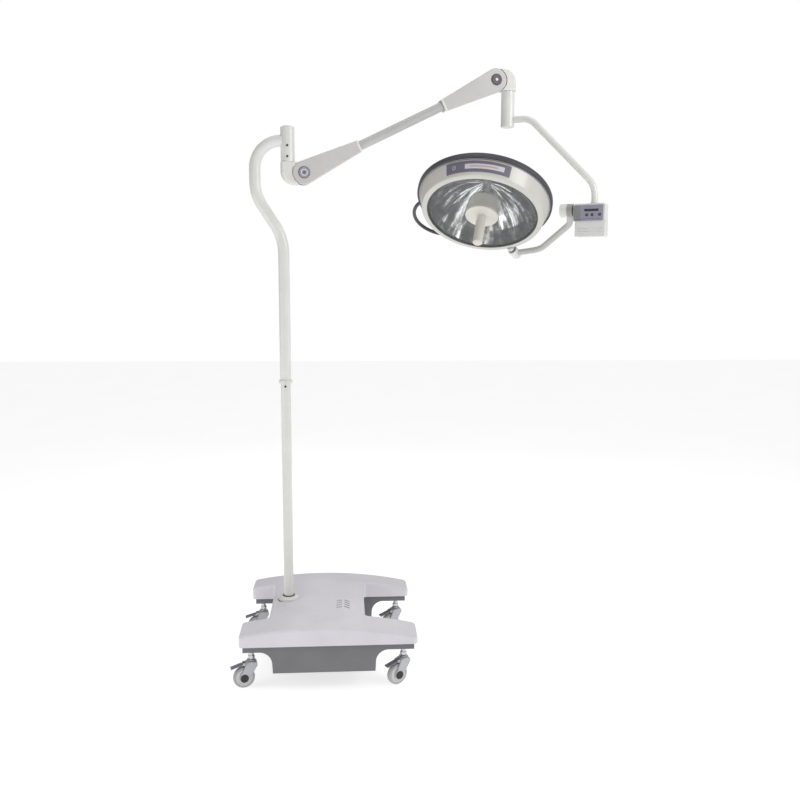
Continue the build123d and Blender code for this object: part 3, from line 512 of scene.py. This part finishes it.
def on_cone(name, low, high, start, end, out, material):
    """Thin strip that follows the bezel's wall over the label plate."""
    steps = max(8, int(abs(end - start)))
    rows = [(BEZEL_R + CONE * low + 1.8, low), (BEZEL_R + CONE * low + out, low),
            (BEZEL_R + CONE * high + out, high), (BEZEL_R + CONE * high + 1.8, high)]
    return lathe(name, rows, HEAD, material, "head", steps, start, end - start)


def cone_disc(name, angle, height, radius, low, high, material, steps=32):
    """Small round badge that follows the bezel's wall."""
    rows = []
    for out in (low, high):
        for j in range(steps):
            turn = 2 * math.pi * j / steps
            z = height + radius * math.sin(turn)
            r = BEZEL_R + CONE * z + out
            around = math.radians(angle) + radius * math.cos(turn) / r
            rows.append((r * math.cos(around), r * math.sin(around), z))
    faces = ring_faces(2, steps, False, True) + [list(range(steps)), [steps + j for j in range(steps)]]
    return tidy_normals(piece(name, rows, faces, HEAD, material, "head"))


on_cone("label_field", 19.0, 37.5, -88.5, -54.5, 2.3, mark_field)
on_cone("label_stripe", 26.3, 30.3, -84.0, -60.0, 2.5, mark_red)
cone_disc("label_badge", -98.5, 28.5, 8.0, 1.8, 2.4, mark_blue)
cone_disc("label_badge_centre", -98.5, 28.5, 4.2, 2.3, 2.7, label_grey)
lathe("glass_gasket", [(219.4, -5.3), (222.6, -6.3), (224.2, -6.5), (224.2, -6.0), (220.4, -4.8)], HEAD,
      charcoal, "head", 160)
lathe("rim_seam", [(BEZEL_R + CONE * 54 - 0.2, 54.0), (BEZEL_R + CONE * 54 + 1.2, 54.6),
                   (BEZEL_R + CONE * 56 + 1.0, 56.6), (BEZEL_R + CONE * 56 - 0.6, 56.6)], HEAD, label_grey,
      "head", 160)

SCREW = [(0.2, 0.0), (4.2, 0.0), (4.2, 0.9), (3.4, 1.8), (1.9, 2.1), (1.9, 1.1), (0.2, 1.1)]
DOME_SCREW_R, DOME_SPHERE, CROWN_FLAT = 214.0, 450.1, 3.0    # screw circle, dome's radius, height of its boss
lean = math.asin(DOME_SCREW_R / DOME_SPHERE)
for number in range(6):
    seat = (HEAD @ Matrix.Rotation(math.radians(60 * number + 15), 4, "Z")
            @ Matrix.Translation((0, 0, (DOME_HIGH.z - CROWN_FLAT - DOME_SPHERE) * MM))
            @ Matrix.Rotation(lean, 4, "Y") @ Matrix.Translation((0, 0, (DOME_SPHERE - 0.4) * MM)))
    lathe("dome_screw_%d" % number, SCREW, seat, zinc, "head", 24)

# ---------------------------------------------------------------- control box and arm trim
FACE = YOKE @ Matrix.Translation((0, PANEL_LOW.y * MM, 0)) @ Matrix.Rotation(math.radians(90), 4, "X")


def tablet(name, x, z, width, height, low, high, material, slot, body="yoke", corner=0.8):
    """Small rounded plate on the panel, centred at a place, between two heights from its face."""
    w, h = width / 2, height / 2
    outline = rounded([(x - w, z - h), (x + w, z - h), (x + w, z + h), (x - w, z + h)], corner)
    return plate(name, outline, low, high, FACE, material, body, bevel=min(0.2, (high - low) / 2))


WINDOW_X, WINDOW_Z = PANEL_LOW.x + 67.0, -3.5
tablet("display_window", WINDOW_X, WINDOW_Z, 53.4, 8.4, -0.95, -0.35, display_dark, "black_plastic")
for number in range(12):
    tablet("display_bar_%02d" % number, WINDOW_X - 23.4 + number * 4.25, WINDOW_Z, 2.6, 4.6, -0.4, -0.28,
           display_lit, "panel_grey", corner=0.3)
tablet("panel_strip", WINDOW_X - 4.0, -36.0, 88.0, 1.0, -0.55, -0.05, display_dark, "black_plastic",
       corner=0.4)
for name in ("minus", "plus", "power"):
    low, high = local_box("button_" + name, YOKE)
    x, z, face = (low.x + high.x) / 2, (low.z + high.z) / 2, PANEL_LOW.y - low.y
    look = (face - 0.1, face + 0.12, mark_pale, "panel_grey", name + "_key", 0.3)
    tablet("mark_%s_bar" % name, x, z, 4.2, 1.0, *look)
    if name != "minus":
        tablet("mark_%s_post" % name, x, z, 1.0, 4.2, *look)


def end_band(name, matrix):
    """Pale band round the narrow end of an arm cover."""
    rows = []
    back, front = COVER_END - 8, COVER_END + 0.4
    section = ((back, 20.6, 21.2), (back, 22.3, 23.0), (front, 22.2, 22.2), (front, 20.6, 20.6))
    for x, half_y, half_z in section:
        corners = [(-half_y, -half_z), (half_y, -half_z), (half_y, half_z), (-half_y, half_z)]
        rows.append([(x, y, z) for y, z in rounded(corners, 3.0)])
    faces = ring_faces(len(rows), len(rows[0]), True, True)
    return tidy_normals(piece(name, [v for row in rows for v in row], faces, matrix, seal_pale, "arm"))


for name, x, ring, hub in (("lower", 0.0, seal_pale, label_grey),
                           ("upper", ARM_LINE.length / MM, label_grey, seal_pale)):
    seat = ARM @ Matrix.Translation((x * MM, PINS_FRONT * MM, 0)) @ Matrix.Rotation(math.radians(90), 4, "X")
    lathe("cap_rim_" + name, [(18.4, -1.6), (20.9, -3.4), (21.4, -3.4), (21.4, -1.9), (19.4, -0.9)], seat,
          charcoal, "arm", 64)
    lathe("cap_ring_" + name, [(9.2, -1.1), (12.8, -1.1), (12.4, -0.3), (9.6, -0.3)], seat, ring, "arm",
          64)
    lathe("cap_hub_" + name, [(0.2, -0.2), (5.6, -0.2), (5.2, 0.4), (0.2, 0.6)], seat, hub, "arm", 48)

VENT_DEPTH = PANEL_LOW.y - local_box("control_base", YOKE)[0].y
for number in range(8):
    tablet("vent_liner_%d" % number, PANEL_LOW.x + 19.5 + 12 * number, -76.0, 6.6, 11.6,
           VENT_DEPTH - 1.6, VENT_DEPTH - 0.9, seal_pale, "white_plastic", corner=2.0)
UPRIGHT = Matrix.Identity(4)
COLLAR_FOOT = local_box("mast_collar", UPRIGHT)[0].z
# charcoal ring at the collar's foot: a painted shadow line round the collar
lathe("collar_foot_shadow", [(39.0, COLLAR_FOOT - 2.0), (42.2, COLLAR_FOOT - 2.0), (42.6, COLLAR_FOOT + 0.8),
                        (41.2, COLLAR_FOOT + 1.8), (39.0, COLLAR_FOOT + 1.8)], UPRIGHT, charcoal, "base",
      96)
# charcoal ring on top of the collar round the mast: painted shadow in the gap between mast and collar
lathe("collar_gap_shadow", [(19.2, 257.4), (24.5, 257.6), (24.0, 259.0), (19.2, 260.4)], UPRIGHT, charcoal, "base",
      64)

end_band("cover_band_lower", ARM)
end_band("cover_band_upper", ARM @ Matrix.Translation(Vector((ARM_LINE.length, 0, 0)))
         @ Matrix.Rotation(math.radians(180), 4, "Z"))

# ---------------------------------------------------------------- casters
TREAD_HALF = [(29.6, -10.4), (34.0, -11.0), (37.0, -9.9), (39.0, -7.4), (39.8, -3.8)]
HUB_HALF = [(4.1, -10.9), (11.5, -10.9), (13.5, -8.2), (24.5, -8.2), (26.5, -10.8), (30.3, -10.2)]
TREAD = TREAD_HALF + [(39.95, 0.0)] + [(r, -z) for r, z in reversed(TREAD_HALF)]
HUB = HUB_HALF + [(r, -z) for r, z in reversed(HUB_HALF)]
for corner in ("front_left", "front_right", "rear_left", "rear_right"):
    hub_point, roll = point_of("roll_" + corner), axis_of("roll_" + corner)
    wheel = frame_from(hub_point, UP.cross(roll), roll)
    tyre = lathe("tyre_" + corner, TREAD, wheel, tyre_grey, "wheel_" + corner, 72, smooth=40.0)
    lathe("hub_" + corner, HUB, wheel, hub_white, "wheel_" + corner, 72)
    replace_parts(tyre, "caster_%s_wheel" % corner)
    for side in (-1, 1):
        cap = lathe("axle_cap_%s_%s" % (corner, "in" if side < 0 else "out"),
                    [(0.2, 17.4 * side), (14.9, 17.4 * side), (15.0, 19.6 * side), (13.2, 21.6 * side),
                     (9.0, 22.1 * side), (5.0, 21.8 * side), (0.2, 21.8 * side)],
                    wheel, plastic_black, "fork_" + corner, 48)

# ---------------------------------------------------------------- stage, light and camera
floor_mesh = bpy.data.meshes.new("floor")
SIZE = 14.0
corners = [(-SIZE, -SIZE, 0), (SIZE, -SIZE, 0), (SIZE, SIZE, 0), (-SIZE, SIZE, 0)]
floor_mesh.from_pydata(corners, [], [(0, 1, 2, 3)])
floor = bpy.data.objects.new("floor", floor_mesh)
bpy.context.scene.collection.objects.link(floor)
floor_shader = Shader("floor_pale")
floor_tone = floor_shader.ramp(floor_shader.noise(1.5, 3.0), (0.3, (0.66, 0.66, 0.66)),
                               (0.7, (0.69, 0.69, 0.69)))
floor_shader.link(floor_tone, floor_shader.bsdf.inputs["Base Color"])
floor_shader.set(Roughness=0.85, Emission_Color=(1.0, 1.0, 1.0, 1.0), Emission_Strength=0.62)
floor_mesh.materials.append(floor_shader.material)


def softbox(name, location, target, size, power):
    """Square area light that faces a point."""
    data = bpy.data.lights.new(name, "AREA")
    data.energy = power
    data.size = size
    lamp = bpy.data.objects.new(name, data)
    lamp.location = location
    lamp.rotation_euler = (Vector(target) - Vector(location)).to_track_quat("-Z", "Y").to_euler()
    bpy.context.scene.collection.objects.link(lamp)


MAST, LAMP_HEAD, BASE = (0.0, 0.0, 1.0), (0.8, 0.15, 1.85), (0.2, -0.1, 0.2)
softbox("key", (2.9, -1.6, 2.7), LAMP_HEAD, 1.3, 29.0)
softbox("left", (-1.5, -0.7, 1.1), MAST, 1.2, 7.5)
softbox("front", (-0.4, -4.2, 2.4), BASE, 2.4, 11.0)
softbox("top", (0.3, 0.2, 4.4), MAST, 2.6, 26.0)
softbox("back", (0.8, 3.4, 2.6), MAST, 2.4, 10.0)

world = bpy.data.worlds.new("studio")
world.use_nodes = True
sky, sky_links = world.node_tree.nodes, world.node_tree.links
seen = sky.new("ShaderNodeLightPath")
strength = sky.new("ShaderNodeMapRange")
strength.inputs["To Max"].default_value = 1.0
direction = sky.new("ShaderNodeTexCoord")
toward = sky.new("ShaderNodeVectorMath")
toward.operation = "DOT_PRODUCT"
toward.inputs[1].default_value = (0.75, 0.1, 0.6)
room = sky.new("ShaderNodeMapRange")
room.inputs["From Min"].default_value = -0.8
room.inputs["From Max"].default_value = 0.8
room.inputs["To Min"].default_value = 0.06
room.inputs["To Max"].default_value = 0.60
sky_links.new(direction.outputs["Generated"], toward.inputs[0])
sky_links.new(toward.outputs["Value"], room.inputs["Value"])
sky_links.new(room.outputs["Result"], strength.inputs["To Min"])
sky["Background"].inputs["Color"].default_value = (1.0, 1.0, 1.0, 1.0)
sky_links.new(seen.outputs["Is Camera Ray"], strength.inputs["Value"])
sky_links.new(strength.outputs["Result"], sky["Background"].inputs["Strength"])
bpy.context.scene.world = world
bpy.context.scene.view_settings.view_transform = "Standard"

CAMERA_AT, LENS = (0.225, -3.224, 1.460), 37.8
PITCH, YAW, ROLL = math.radians(7.51), math.radians(3.80), math.radians(0.15)
forward = Vector((math.sin(YAW) * math.cos(PITCH), math.cos(YAW) * math.cos(PITCH), -math.sin(PITCH)))
camera_data = bpy.data.cameras.new("camera")
camera_data.lens = LENS
camera_data.sensor_width = 36.0
camera = bpy.data.objects.new("camera", camera_data)
camera.location = CAMERA_AT
turn = Matrix.Rotation(-ROLL, 3, forward)
camera.rotation_euler = (turn @ forward.to_track_quat("-Z", "Y").to_matrix()).to_euler()
bpy.context.scene.collection.objects.link(camera)
bpy.context.scene.camera = camera
